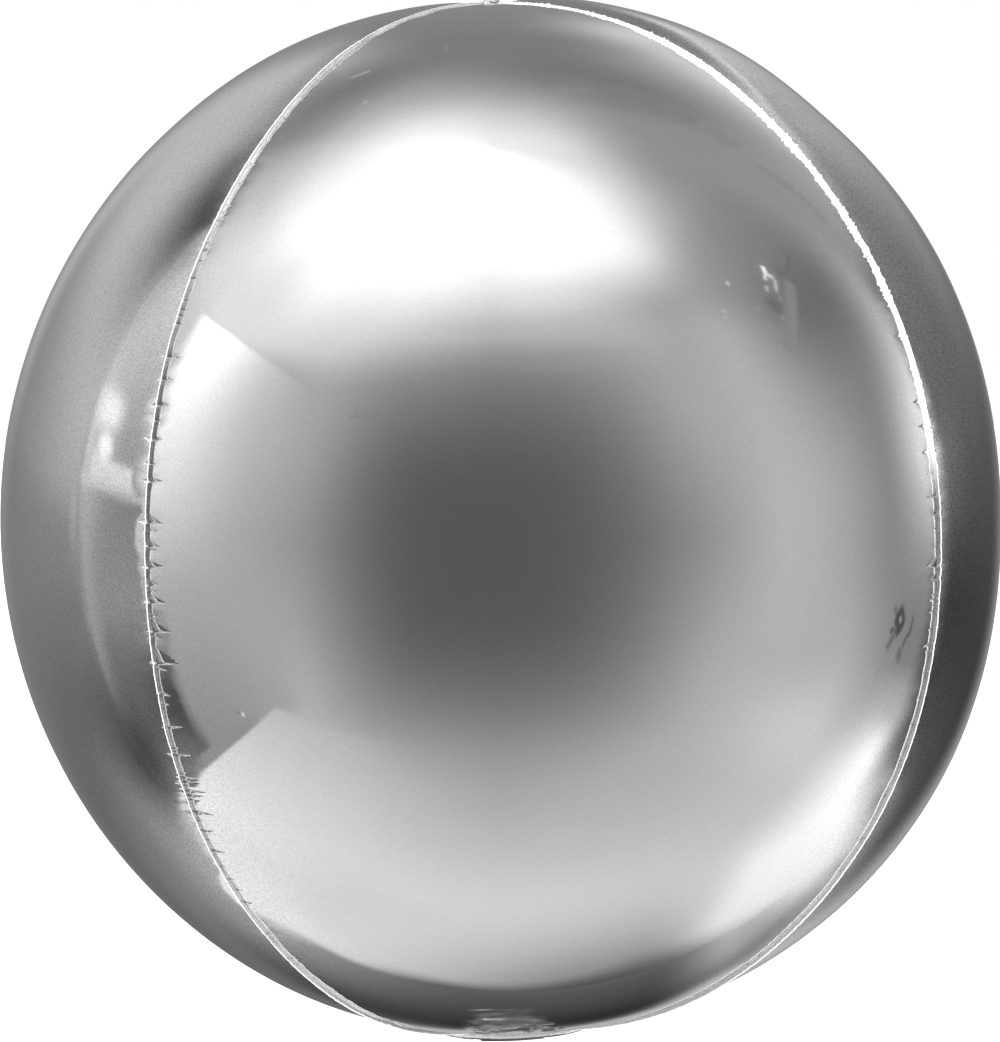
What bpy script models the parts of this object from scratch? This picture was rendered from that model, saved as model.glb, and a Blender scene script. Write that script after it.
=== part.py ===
"""Silver orb foil balloon: four film gores welded edge to edge, gathered at a
crown tip above and at a flat filling tail below. Metres, +Z up, the front gore
faces -Y, and the origin is the middle of the envelope."""

import math

import bmesh
import bpy

# ---- Envelope -------------------------------------------------------------
HALF_HEIGHT = 0.2000      # middle of the envelope to either pole
FLAT_RADIUS = 0.1932      # axis to the middle of a gore, at the equator
SHOULDER = 0.012          # fuller than an ellipse by this share at 45 degrees of latitude
SEAM_BULGE = 0.041        # how much further out a seam runs than a gore's middle, at the equator
SEAM_BULGE_MID = -0.014   # the change in that share at 45 degrees of latitude
WALL = 0.0020             # panel thickness; the real film is far thinner

GAP = 0.0003              # between pieces that touch
ACROSS, ALONG = 12, 32    # facets across a gore and from pole to pole
CROWN_HOLE = 0.0050       # radius left open at the top, which the crown tip fills
NECK_HOLE = 0.0083        # radius left open at the bottom, which the neck collar fills

# ---- Seam flanges ---------------------------------------------------------
FLANGE_THICK = 0.0008
FLANGE_PROUD = 0.0016     # how far the welded edge stands out of the envelope
FLANGE_TOP = 0.0072       # distance from the axis where the flange stops at the crown
FLANGE_BOTTOM = 0.0150    # the same at the neck

# ---- Crown tip ------------------------------------------------------------
TIP_WIDE, TIP_THICK, TIP_TALL = 0.0062, 0.0012, 0.0024

# ---- Neck and filling tail ------------------------------------------------
NECK_WIDE = 0.0260        # flat width of the tail
COLLAR_THICK = 0.0016     # gathered film at the collar's lower edge
COLLAR_LOW = -0.2045      # height of the collar's lower edge
FOLD_Z = -0.2064          # height of the line that the tail folds about
TAIL_LONG = 0.0600
FILM = 0.0007             # each of the tail's films
VALVE_THICK = 0.0005
VALVE_WIDE = 0.0170
VALVE_INSET = 0.0030      # the valve film stops this far inside the tail's mouth

FOIL = (0.74, 0.75, 0.76, 1.0)
WELD = (0.80, 0.81, 0.82, 1.0)
VALVE = (0.86, 0.87, 0.88, 1.0)

# name, direction that the gore faces in degrees (0 is -Y, 90 is +X)
GORES = [
    ("gore_front", 0.0),
    ("gore_right", 90.0),
    ("gore_back", 180.0),
    ("gore_left", 270.0),
]

# name, direction of the seam in degrees
SEAMS = [
    ("seam_flange_front_right", 45.0),
    ("seam_flange_back_right", 135.0),
    ("seam_flange_back_left", 225.0),
    ("seam_flange_front_left", 315.0),
]


def clear_scene():
    for obj in list(bpy.data.objects):
        bpy.data.objects.remove(obj, do_unlink=True)


def material(name, colour, roughness, metallic):
    made = bpy.data.materials.new(name)
    made.use_nodes = True
    shader = made.node_tree.nodes["Principled BSDF"]
    shader.inputs["Base Color"].default_value = colour
    shader.inputs["Roughness"].default_value = roughness
    shader.inputs["Metallic"].default_value = metallic
    return made


def node_from(name, mesh_maker, finish, smooth_deg=40.0, parent=None):
    """Turns a filled bmesh into a named object with its own material."""
    mesh = bpy.data.meshes.new(name)
    bmesh.ops.recalc_face_normals(mesh_maker, faces=mesh_maker.faces)
    mesh_maker.to_mesh(mesh)
    mesh_maker.free()
    mesh.shade_smooth()
    mesh.set_sharp_from_angle(angle=math.radians(smooth_deg))
    mesh.materials.append(material(name + "_film", *finish))
    obj = bpy.data.objects.new(name, mesh)
    bpy.context.scene.collection.objects.link(obj)
    if parent is not None:
        obj.parent = parent
    return obj


def envelope_radius(lat, azimuth):
    """Distance from the middle to the film, towards a latitude and a direction."""
    swell = math.sin(2 * lat) ** 2
    base = 1.0 / math.hypot(math.cos(lat) / FLAT_RADIUS, math.sin(lat) / HALF_HEIGHT)
    bulge = SEAM_BULGE * math.cos(lat) ** 2 + SEAM_BULGE_MID * swell**2
    return base * (1 + SHOULDER * swell) * (1 + bulge * math.sin(2 * azimuth) ** 2)


def on_envelope(lat, azimuth, outward=0.0):
    r = envelope_radius(lat, azimuth) + outward
    return (
        r * math.cos(lat) * math.sin(azimuth),
        -r * math.cos(lat) * math.cos(azimuth),
        r * math.sin(lat),
    )


def latitudes(top_radius, bottom_radius, steps):
    """Latitudes in even steps from the bottom hole to the top one."""
    low = -math.acos(bottom_radius / HALF_HEIGHT)
    high = math.acos(top_radius / HALF_HEIGHT)
    return [low + (high - low) * i / steps for i in range(steps + 1)]


def gore(name, facing_deg):
    """A quarter of the envelope, as a curved panel that stops short of the two seam planes."""
    bm = bmesh.new()
    facing = math.radians(facing_deg)
    standoff = FLANGE_THICK / 2 + GAP
    rows = []
    for lat in latitudes(CROWN_HOLE, NECK_HOLE, ALONG):
        from_axis = envelope_radius(lat, math.radians(45)) * math.cos(lat)
        half = math.radians(45) - math.asin(standoff / from_axis)
        turns = [half * (2 * j / ACROSS - 1) for j in range(ACROSS + 1)]
        outer = [bm.verts.new(on_envelope(lat, facing + t)) for t in turns]
        inner = [bm.verts.new(on_envelope(lat, facing + t, -WALL)) for t in turns]
        rows.append((outer, inner))
    for (o0, i0), (o1, i1) in zip(rows, rows[1:]):
        for j in range(ACROSS):
            bm.faces.new((o0[j], o0[j + 1], o1[j + 1], o1[j]))
            bm.faces.new((i0[j], i1[j], i1[j + 1], i0[j + 1]))
        for j in (0, ACROSS):
            bm.faces.new((o0[j], o1[j], i1[j], i0[j]))
    for outer, inner in (rows[0], rows[-1]):
        for j in range(ACROSS):
            bm.faces.new((outer[j], outer[j + 1], inner[j + 1], inner[j]))
    return node_from(name, bm, (FOIL, 0.09, 1.0))


def seam_flange(name, azimuth_deg):
    """The welded edge of two gores: a thin plate in the seam's plane, from inside the wall to its free edge."""
    bm = bmesh.new()
    azimuth = math.radians(azimuth_deg)
    side = (math.cos(azimuth) * FLANGE_THICK / 2, math.sin(azimuth) * FLANGE_THICK / 2)
    rings = []
    for lat in latitudes(FLANGE_TOP, FLANGE_BOTTOM, ALONG):
        ring = []
        for outward, way in ((-WALL, -1), (FLANGE_PROUD, -1), (FLANGE_PROUD, 1), (-WALL, 1)):
            x, y, z = on_envelope(lat, azimuth, outward)
            ring.append(bm.verts.new((x + way * side[0], y + way * side[1], z)))
        rings.append(ring)
    for a, b in zip(rings, rings[1:]):
        for k in range(4):
            bm.faces.new((a[k], a[(k + 1) % 4], b[(k + 1) % 4], b[k]))
    bm.faces.new(rings[0])
    bm.faces.new(rings[-1][::-1])
    return node_from(name, bm, (WELD, 0.2, 1.0))


def round_flat_loop(bm, count, half_x, half_y, z):
    """A loop that is a circle where the halves are equal, and flattens towards a blade as half_y shrinks."""
    points = []
    for k in range(count):
        t = 2 * math.pi * k / count
        points.append(bm.verts.new((half_x * math.cos(t), half_y * math.sin(t), z)))
    return points


def bridged(bm, loops):
    for a, b in zip(loops, loops[1:]):
        n = len(a)
        for k in range(n):
            bm.faces.new((a[k], a[(k + 1) % n], b[(k + 1) % n], b[k]))
    bm.faces.new(loops[0][::-1])
    bm.faces.new(loops[-1])


def crown_tip():
    """The four gore tips welded together: a plug in the top hole, drawn up into a small flat tab."""
    bm = bmesh.new()
    plug = CROWN_HOLE - 2 * GAP
    sections = [
        (plug * 0.96, plug * 0.96, HALF_HEIGHT - WALL),
        (plug, plug, HALF_HEIGHT - 0.0002),
        (TIP_WIDE * 0.5, TIP_THICK * 1.2, HALF_HEIGHT + 0.0006),
        (TIP_WIDE * 0.5, TIP_THICK * 0.5, HALF_HEIGHT + 0.0012),
        (TIP_WIDE * 0.46, TIP_THICK * 0.5, HALF_HEIGHT + TIP_TALL),
    ]
    bridged(bm, [round_flat_loop(bm, 16, *s) for s in sections])
    return node_from("crown_tip", bm, (WELD, 0.2, 1.0))


def neck_collar():
    """Where the gores run together below: round in the bottom hole, pressed flat at the fold line."""
    bm = bmesh.new()
    plug = NECK_HOLE - 2 * GAP
    sections = [
        (NECK_WIDE / 2, COLLAR_THICK / 2, COLLAR_LOW),
        (NECK_WIDE / 2, COLLAR_THICK / 2, COLLAR_LOW + 0.0010),
        (NECK_WIDE * 0.42, COLLAR_THICK * 1.4, COLLAR_LOW + 0.0026),
        (plug, plug, -HALF_HEIGHT + 0.0002),
        (plug * 0.96, plug * 0.96, -HALF_HEIGHT + WALL),
    ]
    bridged(bm, [round_flat_loop(bm, 24, *s) for s in sections])
    return node_from("neck_collar", bm, (FOIL, 0.15, 1.0))


def tail_film(name, low, high, half_wide, start, end, finish, parent):
    """A flat strip of the folded tail, in the fold axis's own frame: it runs back along +Y."""
    bm = bmesh.new()
    bottom = [bm.verts.new((x, y, low)) for x, y in ((-half_wide, start), (half_wide, start), (half_wide, end), (-half_wide, end))]
    top = [bm.verts.new((v.co.x, v.co.y, high)) for v in bottom]
    bridged(bm, [bottom, top])
    return node_from(name, bm, finish, parent=parent)


def filling_tail():
    """Two foil films with the valve's plastic film between them, folded back under the envelope."""
    fold = bpy.data.objects.new("neck_fold_axis", None)
    fold.location = (0.0, 0.0, FOLD_Z)
    bpy.context.scene.collection.objects.link(fold)
    half_valve = VALVE_THICK / 2
    inner = half_valve + GAP
    half = NECK_WIDE / 2
    foil, plastic = (FOIL, 0.12, 1.0), (VALVE, 0.35, 0.0)
    # name, lower face, upper face, half width, start and end behind the fold, finish
    strips = [
        ("tail_upper_film", inner, inner + FILM, half, -inner, TAIL_LONG, foil),
        ("tail_lower_film", -inner - FILM, -inner, half, -inner, TAIL_LONG, foil),
        ("valve_film", -half_valve, half_valve, VALVE_WIDE / 2, 0.0, TAIL_LONG - VALVE_INSET, plastic),
    ]
    for strip in strips:
        tail_film(*strip, fold)


clear_scene()
for name, facing_deg in GORES:
    gore(name, facing_deg)
for name, azimuth_deg in SEAMS:
    seam_flange(name, azimuth_deg)
crown_tip()
neck_collar()
filling_tail()
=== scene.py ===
"""Silver orb foil balloon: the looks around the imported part. Metres, +Z up, the front gore faces -Y."""

import math

import bpy
import numpy as np
from mathutils import Matrix, Vector


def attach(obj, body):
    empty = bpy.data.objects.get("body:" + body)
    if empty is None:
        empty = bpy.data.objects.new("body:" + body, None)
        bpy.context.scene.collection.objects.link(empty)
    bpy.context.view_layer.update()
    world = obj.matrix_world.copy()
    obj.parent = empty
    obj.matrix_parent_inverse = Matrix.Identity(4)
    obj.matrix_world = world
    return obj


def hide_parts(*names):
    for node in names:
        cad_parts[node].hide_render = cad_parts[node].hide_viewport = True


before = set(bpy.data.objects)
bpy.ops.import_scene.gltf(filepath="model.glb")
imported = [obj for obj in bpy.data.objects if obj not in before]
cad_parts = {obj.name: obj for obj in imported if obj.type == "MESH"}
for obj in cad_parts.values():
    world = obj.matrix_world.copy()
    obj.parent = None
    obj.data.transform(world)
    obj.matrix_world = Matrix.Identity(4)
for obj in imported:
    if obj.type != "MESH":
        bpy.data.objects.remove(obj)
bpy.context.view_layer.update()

# ---- The envelope's shape, as the part has it ---------------------------------
HALF_HEIGHT = 0.2000
FLAT_RADIUS = 0.1932
SHOULDER = 0.012
SEAM_BULGE = 0.041
SEAM_BULGE_MID = -0.014
NECK_WIDE = 0.0260
COLLAR_LOW = -0.2045
FOLD_Z = -0.2064
TAIL_LONG = 0.0600
FIN_TALL = 0.0015         # the welded edge, from the film to its free edge

# ---- How the photograph was taken ----------------------------------------------
CAMERA_FAR = 1.60         # metres from the middle of the envelope
CAMERA_AZIMUTH = -6.57    # degrees from -Y towards +X
CAMERA_ELEVATION = 5.38
CAMERA_ROLL = 1.0         # the balloon leans to the left by this much
CAMERA_LENS = 141.34      # millimetres, on a 36 mm long side
SHIFT_X, SHIFT_Y = -1.07 / 1042, -1.94 / 1042

QUARTER = math.pi / 4
MERIDIAN = 0.203          # metres along a seam for each radian of latitude


# ---- Small tools ----------------------------------------------------------------
_table = np.random.default_rng(7).random(4096)


def _lattice(i, j, k):
    return _table[(i * 73856093 ^ j * 19349663 ^ k * 83492791) & 4095]


def noise3(x, y, z):
    """Smooth value noise from -1 to 1, one cell to a unit."""
    x, y, z = np.broadcast_arrays(x, y, z)
    i, j, k = (np.floor(v).astype(np.int64) for v in (x, y, z))
    fx, fy, fz = x - i, y - j, z - k
    fx, fy, fz = (f * f * f * (f * (6 * f - 15) + 10) for f in (fx, fy, fz))
    total = 0.0
    for a in (0, 1):
        wa = fx if a else 1 - fx
        for b in (0, 1):
            wb = fy if b else 1 - fy
            for c in (0, 1):
                wc = fz if c else 1 - fz
                total = total + wa * wb * wc * _lattice(i + a, j + b, k + c)
    return total * 2 - 1


def smooth(x, low, high):
    t = np.clip((x - low) / (high - low), 0.0, 1.0)
    return t * t * (3 - 2 * t)


def folds(x, y, z):
    """Noise with sharp ridges, as crumpled film has: 0 on a crease, up to 1 between creases."""
    return np.abs(noise3(x, y, z)) * 0.75 + np.abs(noise3(2.3 * x + 9, 2.3 * y + 5, 2.3 * z + 1)) * 0.25


# ---- Envelope surface -------------------------------------------------------------
def envelope_radius(lat, azimuth):
    swell = np.sin(2 * lat) ** 2
    base = 1.0 / np.hypot(np.cos(lat) / FLAT_RADIUS, np.sin(lat) / HALF_HEIGHT)
    bulge = SEAM_BULGE * np.cos(lat) ** 2 + SEAM_BULGE_MID * swell**2
    return base * (1 + SHOULDER * swell) * (1 + bulge * np.sin(2 * azimuth) ** 2)


def side_swell(lat, turn, facing_deg):
    """The two side gores aren't quite alike: how far each stands off the plain shape, as a share."""
    window = np.cos(2 * turn) ** 2 * np.cos(lat) ** 0.5
    if facing_deg == 90:
        return window * (0.0060 - 0.0144 * np.exp(-((lat / math.radians(25)) ** 2)))
    if facing_deg == 270:
        return window * 0.0063 * np.cos(4 * lat)
    return np.zeros_like(window)


def to_point(r, lat, azimuth):
    return np.stack([r * np.cos(lat) * np.sin(azimuth), -r * np.cos(lat) * np.cos(azimuth), r * np.sin(lat)], -1)


# Puckers: where the weld gathers the film, it is drawn in along a short crease square to the seam.
# latitude in degrees, reach on the front gore in mm, width above and below the crease in mm,
# tilt of the upper facet in degrees, reach on the side gore in mm
PUCKERS_FRONT_LEFT = [
    (21.4, 4.8, 1.5, 1.9, 7, 2.4), (19.0, 3.1, 1.5, 2.2, 6, 1.4), (16.4, 3.6, 1.3, 0.5, 15, 3.8), (14.8, 1.9, 0.7, 0.7, 9, 1.4),
    (12.9, 3.1, 1.3, 0.5, 17, 3.8), (10.4, 1.7, 0.7, 0.5, 15, 2.4), (8.7, 4.8, 1.2, 0.5, 17, 2.9), (4.6, 5.5, 2.3, 0.5, 16, 3.4),
    (3.8, 3.4, 0.5, 0.5, 10, 1.0), (2.2, 4.3, 2.0, 0.5, 16, 1.4), (1.8, 3.4, 0.5, 0.5, 16, 0.5), (0.0, 6.0, 2.1, 0.5, 16, 2.4),
    (-1.8, 3.6, 2.0, 0.5, 15, 1.0), (-2.4, 2.6, 0.5, 0.5, 15, 0.5), (-3.5, 6.2, 2.5, 0.6, 16, 2.2), (-4.9, 2.6, 0.5, 0.5, 15, 0.5),
    (-5.3, 2.4, 0.5, 0.5, 14, 0.5), (-6.5, 6.5, 3.5, 0.6, 12, 1.9), (-7.2, 3.6, 0.5, 0.5, 18, 1.0), (-9.8, 7.7, 5.2, 0.7, 9, 2.4),
    (-10.4, 4.3, 0.5, 0.5, 9, 0.5), (-13.1, 3.8, 0.8, 0.6, 18, 1.4), (-14.2, 2.9, 0.5, 0.5, 9, 0.5), (-16.8, 6.0, 0.6, 0.6, 22, 1.9),
    (-19.0, 2.2, 0.5, 0.5, 18, 1.0), (-19.4, 1.7, 0.5, 0.5, 16, 0.5), (-19.9, 6.5, 0.6, 0.6, 24, 3.4), (-22.0, 2.4, 0.5, 0.5, 20, 1.0),
    (-22.5, 5.3, 0.6, 0.5, 24, 1.9), (-23.0, 5.8, 0.6, 0.5, 24, 1.4), (-23.4, 1.9, 0.5, 0.5, 20, 3.4), (-24.0, 7.5, 0.6, 0.6, 26, 1.9),
    (-24.6, 5.8, 0.6, 0.5, 24, 1.4), (-25.1, 3.4, 0.5, 0.5, 22, 1.4), (-26.6, 8.4, 0.7, 0.5, 24, 4.8), (-26.9, 2.4, 0.5, 0.5, 20, 1.4),
    (-27.4, 1.4, 0.5, 0.5, 16, 0.5), (-27.7, 1.4, 0.5, 0.5, 16, 0.5), (-29.1, 4.6, 0.6, 0.6, 20, 1.4), (-30.2, 1.4, 0.5, 0.5, 14, 0.5),
    (-31.7, 5.3, 0.6, 0.6, 20, 1.9), (-33.9, 1.9, 0.5, 0.5, 14, 1.0), (-35.8, 2.4, 0.6, 0.6, 18, 1.4), (-37.5, 2.4, 0.7, 0.6, 18, 1.4),
    (-39.4, 3.8, 0.9, 0.7, 18, 1.4),
]
PUCKERS_FRONT_RIGHT = [
    (21.9, 4.0, 1.2, 1.2, 7, 1.3), (18.3, 2.6, 1.1, 1.1, 6, 1.3), (14.7, 4.6, 1.9, 1.9, 7, 2.0), (12.2, 5.3, 0.9, 2.2, 8, 3.3),
    (9.5, 5.0, 1.8, 1.1, 8, 3.3), (7.3, 3.6, 1.6, 1.5, 8, 2.6), (5.0, 5.0, 1.0, 0.7, 16, 2.6), (3.2, 2.6, 2.2, 1.8, 12, 1.3),
    (1.6, 2.0, 0.7, 0.7, 14, 1.3), (-0.3, 2.0, 0.6, 0.5, 12, 1.3), (-2.2, 5.6, 3.1, 0.6, 15, 2.6), (-3.5, 3.3, 2.2, 2.2, 15, 1.3),
    (-5.2, 2.6, 0.7, 0.7, 16, 1.3), (-5.7, 4.3, 0.8, 0.5, 18, 2.0), (-6.3, 2.0, 0.5, 0.5, 14, 2.0), (-7.0, 3.6, 0.6, 0.5, 18, 2.0),
    (-8.8, 2.6, 0.6, 0.5, 18, 3.3), (-10.5, 5.3, 0.9, 0.6, 16, 2.0), (-11.3, 2.6, 0.6, 0.6, 14, 2.0), (-13.5, 2.0, 0.5, 0.5, 12, 1.3),
    (-16.2, 2.0, 0.5, 0.5, 12, 1.3), (-19.2, 2.0, 0.5, 0.5, 12, 2.0), (-23.4, 2.0, 0.5, 0.5, 10, 1.3), (-27.7, 2.0, 0.5, 0.5, 12, 1.3),
    (-33.4, 2.0, 0.6, 0.6, 10, 1.3), (-38.0, 1.7, 0.6, 0.6, 12, 1.3),
]


def scattered_puckers(seed, lows_highs, strength):
    """Puckers at uneven steps of 4 to 13 mm, for a stretch that the photograph doesn't fix."""
    pick = np.random.default_rng(seed)
    rows = []
    for low, high in lows_highs:
        lat = low + pick.uniform(0.5, 2.0)
        while lat < high:
            size = strength * pick.uniform(0.5, 1.3)
            rise = pick.choice([0.5, 0.6, 0.9, 2.0], p=[0.4, 0.25, 0.2, 0.15])
            rows.append((lat, 1.5 + 4.5 * size, rise, pick.uniform(0.5, 0.8), 8 + 10 * size, 1.0 + 2.5 * size * pick.uniform(0.4, 1.0)))
            lat += pick.choice([pick.uniform(0.5, 1.4), pick.uniform(1.8, 3.6)])
    return rows


# seam's direction in degrees -> its puckers
PUCKERS = {
    45: PUCKERS_FRONT_RIGHT + scattered_puckers(1, [(24, 74), (-80, -43)], 0.30),
    135: scattered_puckers(2, [(-80, -45)], 0.4) + scattered_puckers(3, [(-45, 30)], 0.8) + scattered_puckers(4, [(30, 74)], 0.3),
    225: scattered_puckers(5, [(-80, -45)], 0.4) + scattered_puckers(6, [(-45, 30)], 0.8) + scattered_puckers(7, [(30, 74)], 0.3),
    315: PUCKERS_FRONT_LEFT + scattered_puckers(8, [(24, 74)], 0.15) + scattered_puckers(9, [(-80, -44)], 0.30),
}
# which seams have a gore on their side reach, as (seam, facing of the gore)
SIDE_REACH = {(45, 90), (315, 270), (135, 180), (225, 180)}


def pucker_depth(along, away, rows, side_seed, on_side):
    """How deep the film is drawn in at a distance along and away from a seam, both in metres."""
    pick = np.random.default_rng(side_seed)
    wedge, line, broad = np.zeros_like(along), np.zeros_like(along), np.zeros_like(along)
    for lat, reach, rise, fall, tilt, side_reach in rows:
        lean = pick.uniform(-0.10, 0.10)
        if on_side:
            # there the lower facet is the broad one
            reach, rise, fall, tilt = side_reach + 0.9, 0.45 * rise, 0.40 + 0.35 * side_reach, 12 + 0.6 * tilt
            rise, tilt = max(rise, 0.45), min(tilt, 24)
        else:
            reach, rise = 1.3 * reach, 1.25 * rise
            fall = max(fall, 0.9) if rise >= 1.2 else fall
        centre = math.radians(lat) * MERIDIAN
        near = (np.abs(along - centre) < 0.0062) & (away < 0.0115)
        if not near.any():
            continue
        a, d = along[near], away[near]
        off = a - centre - lean * d
        taper = np.clip(1 - d / (reach * 1e-3), 0, 1)
        width = np.where(off > 0, rise, fall) * 1e-3 * taper + 1e-6
        share = np.sqrt(off**2 + 2.5e-9) / width
        deep = math.tan(math.radians(tilt)) * (fall if on_side else rise) * 1e-3 * taper * np.clip(1 - share, 0, 1)
        crease = 0.00011 * np.clip(1 - np.sqrt(off**2 + 4e-9) / 0.00036, 0, 1) * smooth(taper, 0.0, 0.3)
        draw = 0.00014 * min(1.0, reach / 4.0) * np.exp(-((off / 0.0022) ** 2)) * np.exp(-d / 0.0035)
        wedge[near] = np.maximum(wedge[near], deep)
        line[near] = np.maximum(line[near], crease)
        broad[near] = np.maximum(broad[near], draw)
    return wedge + line + broad


# Creases that run up the front gore from the neck: x and z of both ends, half width and height, all in mm.
# A ridge has a positive height.
NECK_CREASES = [
    (-23.4, -163.0, -21.6, -178.0, 1.1, 0.16), (-21.6, -178.0, -24.5, -187.0, 1.1, 0.22), (-5.9, -164.0, -4.8, -174.0, 1.2, 0.18),
    (-4.8, -174.0, 2.0, -181.3, 1.2, 0.24), (2.0, -181.3, 9.5, -188.5, 1.1, 0.22), (-17.9, -166.0, -8.7, -176.7, 1.1, 0.20),
    (-8.7, -176.7, -6.0, -186.0, 1.2, -0.24), (-22.0, -171.6, -15.0, -171.9, 0.8, -0.16), (-22.8, -178.6, -9.0, -179.4, 0.9, -0.26),
    (-22.0, -185.4, -14.0, -186.0, 0.8, -0.20), (-3.5, -183.5, 5.0, -186.0, 0.9, -0.20), (-15.0, -181.0, -12.0, -191.0, 0.9, 0.22),
    (-2.0, -184.0, 1.5, -193.0, 0.9, 0.22), (9.0, -184.0, 11.5, -192.0, 0.8, -0.16), (-27.0, -181.0, -19.0, -191.0, 0.9, -0.18),
]


def crease_lift(x, z, rows):
    total = np.zeros_like(x)
    for x1, z1, x2, z2, wide, high in rows:
        x1, z1, x2, z2, wide, high = (v * 1e-3 for v in (x1, z1, x2, z2, wide, high))
        length = math.hypot(x2 - x1, z2 - z1)
        t = ((x - x1) * (x2 - x1) + (z - z1) * (z2 - z1)) / length**2
        across = ((x - x1) * (z2 - z1) - (z - z1) * (x2 - x1)) / length
        ends = smooth(t, -0.12, 0.18) * smooth(-t, -1.12, -0.82)
        total += high * ends * np.clip(1 - np.sqrt(across**2 + (wide * 0.12) ** 2) / wide, 0, 1)
    return total


def neck_haze(points):
    """How hazy the front film's crumpled patch over the neck is, facet by facet."""
    x, y, z = points.T
    left, right = -0.0225 - 0.10 * np.clip(-z - 0.184, 0, 1), -0.0050 + 1.2 * np.clip(-z - 0.175, 0, 0.015)
    ragged = 0.0022 * noise3(x / 0.004, 5.0, z / 0.0022)
    inside = smooth(x, left + ragged - 0.002, left + ragged + 0.003) * smooth(-x, -right + ragged - 0.002, -right + ragged + 0.003)
    facet = folds(x / 0.0080 + 0.5 * z / 0.006, y / 0.0200, z / 0.0060)
    return smooth(-z + 0.5 * ragged, 0.170, 0.181) * smooth(-y, 0.0, 0.004) * inside * (0.03 + 0.24 * np.clip(facet, 0, 1))


def film_point(lat, turn, facing_deg):
    """A point of a gore's film: latitude, and the turn from the gore's middle line, both in radians."""
    azimuth = turn + math.radians(facing_deg)
    r = envelope_radius(lat, azimuth) * (1 + side_swell(lat, turn, facing_deg))
    from_axis = r * np.cos(lat)
    lift = np.zeros_like(r)
    along = lat * MERIDIAN
    for side in (-1, 1):
        seam = int(facing_deg + 45 * side) % 360
        away = from_axis * (QUARTER - side * turn)
        near = away < 0.016
        if near.any():
            a, d = along[near], away[near]
            fade = smooth(from_axis[near], 0.004, 0.030) * (1 - np.clip(d / 0.016, 0, 1) ** 2) ** 2
            drawn = pucker_depth(a, d, PUCKERS[seam], seam * 10 + side, (seam, facing_deg % 360) in SIDE_REACH)
            pillow = noise3(a / 0.011, seam, d / 0.020) * 0.00011 * np.exp(-((d / 0.009) ** 2))
            root = 0.00003 * np.exp(-d / 0.00020)
            fine = noise3(a / 0.0014, d / 0.0022, seam) * 0.000012 * np.exp(-((d / 0.0030) ** 2))
            lift[near] += (pillow - drawn + fine) * fade + root
    x, y, z = r * np.cos(lat) * np.sin(azimuth), -r * np.cos(lat) * np.cos(azimuth), r * np.sin(lat)
    # The film isn't drawn quite smooth: long shallow waves, finer ones that lie level, and creases by the neck.
    lift += 0.00006 * noise3(x / 0.050, y / 0.050, z / 0.036)
    lift += 0.000010 * noise3(x / 0.035, y / 0.035, z / 0.0055) * (0.35 + 0.65 * smooth(z, -0.02, 0.09))
    low = (z < -0.155) & (from_axis < 0.10)
    if low.any():
        f, xl, yl, zl = from_axis[low], x[low], y[low], z[low]
        if facing_deg == 0:
            patch = smooth(-zl, 0.158, 0.176)
            left, right = -0.0225 - 0.10 * np.clip(-zl - 0.184, 0, 1), -0.0050 + 1.2 * np.clip(-zl - 0.175, 0, 0.015)
            inside = smooth(xl, left - 0.0015, left + 0.0015) * smooth(-xl, -right - 0.0015, -right + 0.0015)
            crumple = folds(xl / 0.0090, yl / 0.0200, zl / 0.0075) - 0.4
            lift[low] += 1.9 * crease_lift(xl, zl, NECK_CREASES) + patch * inside * crumple * 0.00110 * smooth(f, 0.001, 0.006)
        near_neck = smooth(-f, -0.034, -0.012) * smooth(f, 0.001, 0.006)
        lift[low] += near_neck * (folds(xl / 0.0060, yl / 0.0150, zl / 0.006 + facing_deg) - 0.4) * 0.00075
    # at the crown the gores beside and behind stand up between their seams
    crest = {0: 0.0, 90: 0.0034, 180: 0.0026, 270: 0.0010}[facing_deg % 360]
    if crest:
        clear = from_axis * np.minimum(QUARTER - turn, QUARTER + turn)
        lift += crest * (1 - np.exp(-((clear / 0.009) ** 2))) * smooth(z, 0.150, 0.190) * smooth(from_axis, 0.002, 0.014)
    high = (z > 0.185) & (from_axis < 0.034)
    if high.any():
        f = from_axis[high]
        lift[high] += 0.00040 * smooth(-f, -0.015, -0.004) * (folds(x[high] / 0.0036, y[high] / 0.0036, z[high] / 0.004) - 0.4)
    r = r + lift
    return to_point(r, lat, azimuth)


# ---- Meshes ---------------------------------------------------------------------
def mesh_object(name, points, faces, normals=None, smooth_all=True):
    """An object from points and faces, given as lists of corner indices. Normals are one for each corner."""
    mesh = bpy.data.meshes.new(name)
    sizes = np.array([len(f) for f in faces], np.int32)
    corners = np.concatenate([np.asarray(f, np.int32) for f in faces]) if not isinstance(faces, np.ndarray) else faces.ravel().astype(np.int32)
    mesh.vertices.add(len(points))
    mesh.vertices.foreach_set("co", np.asarray(points, np.float32).ravel())
    mesh.loops.add(len(corners))
    mesh.loops.foreach_set("vertex_index", corners)
    mesh.polygons.add(len(sizes))
    mesh.polygons.foreach_set("loop_start", np.concatenate([[0], np.cumsum(sizes)[:-1]]).astype(np.int32))
    mesh.update(calc_edges=True)
    mesh.validate()
    if smooth_all:
        mesh.shade_smooth()
    if normals is not None:
        mesh.normals_split_custom_set(np.asarray(normals, float).tolist())
    obj = bpy.data.objects.new(name, mesh)
    bpy.context.scene.collection.objects.link(obj)
    return obj


def point_values(obj, name, values):
    obj.data.attributes.new(name, "FLOAT", "POINT").data.foreach_set("value", np.asarray(values, np.float32))


def grid_quads(ids):
    return np.stack([ids[:-1, :-1], ids[:-1, 1:], ids[1:, 1:], ids[1:, :-1]], -1).reshape(-1, 4)


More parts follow.
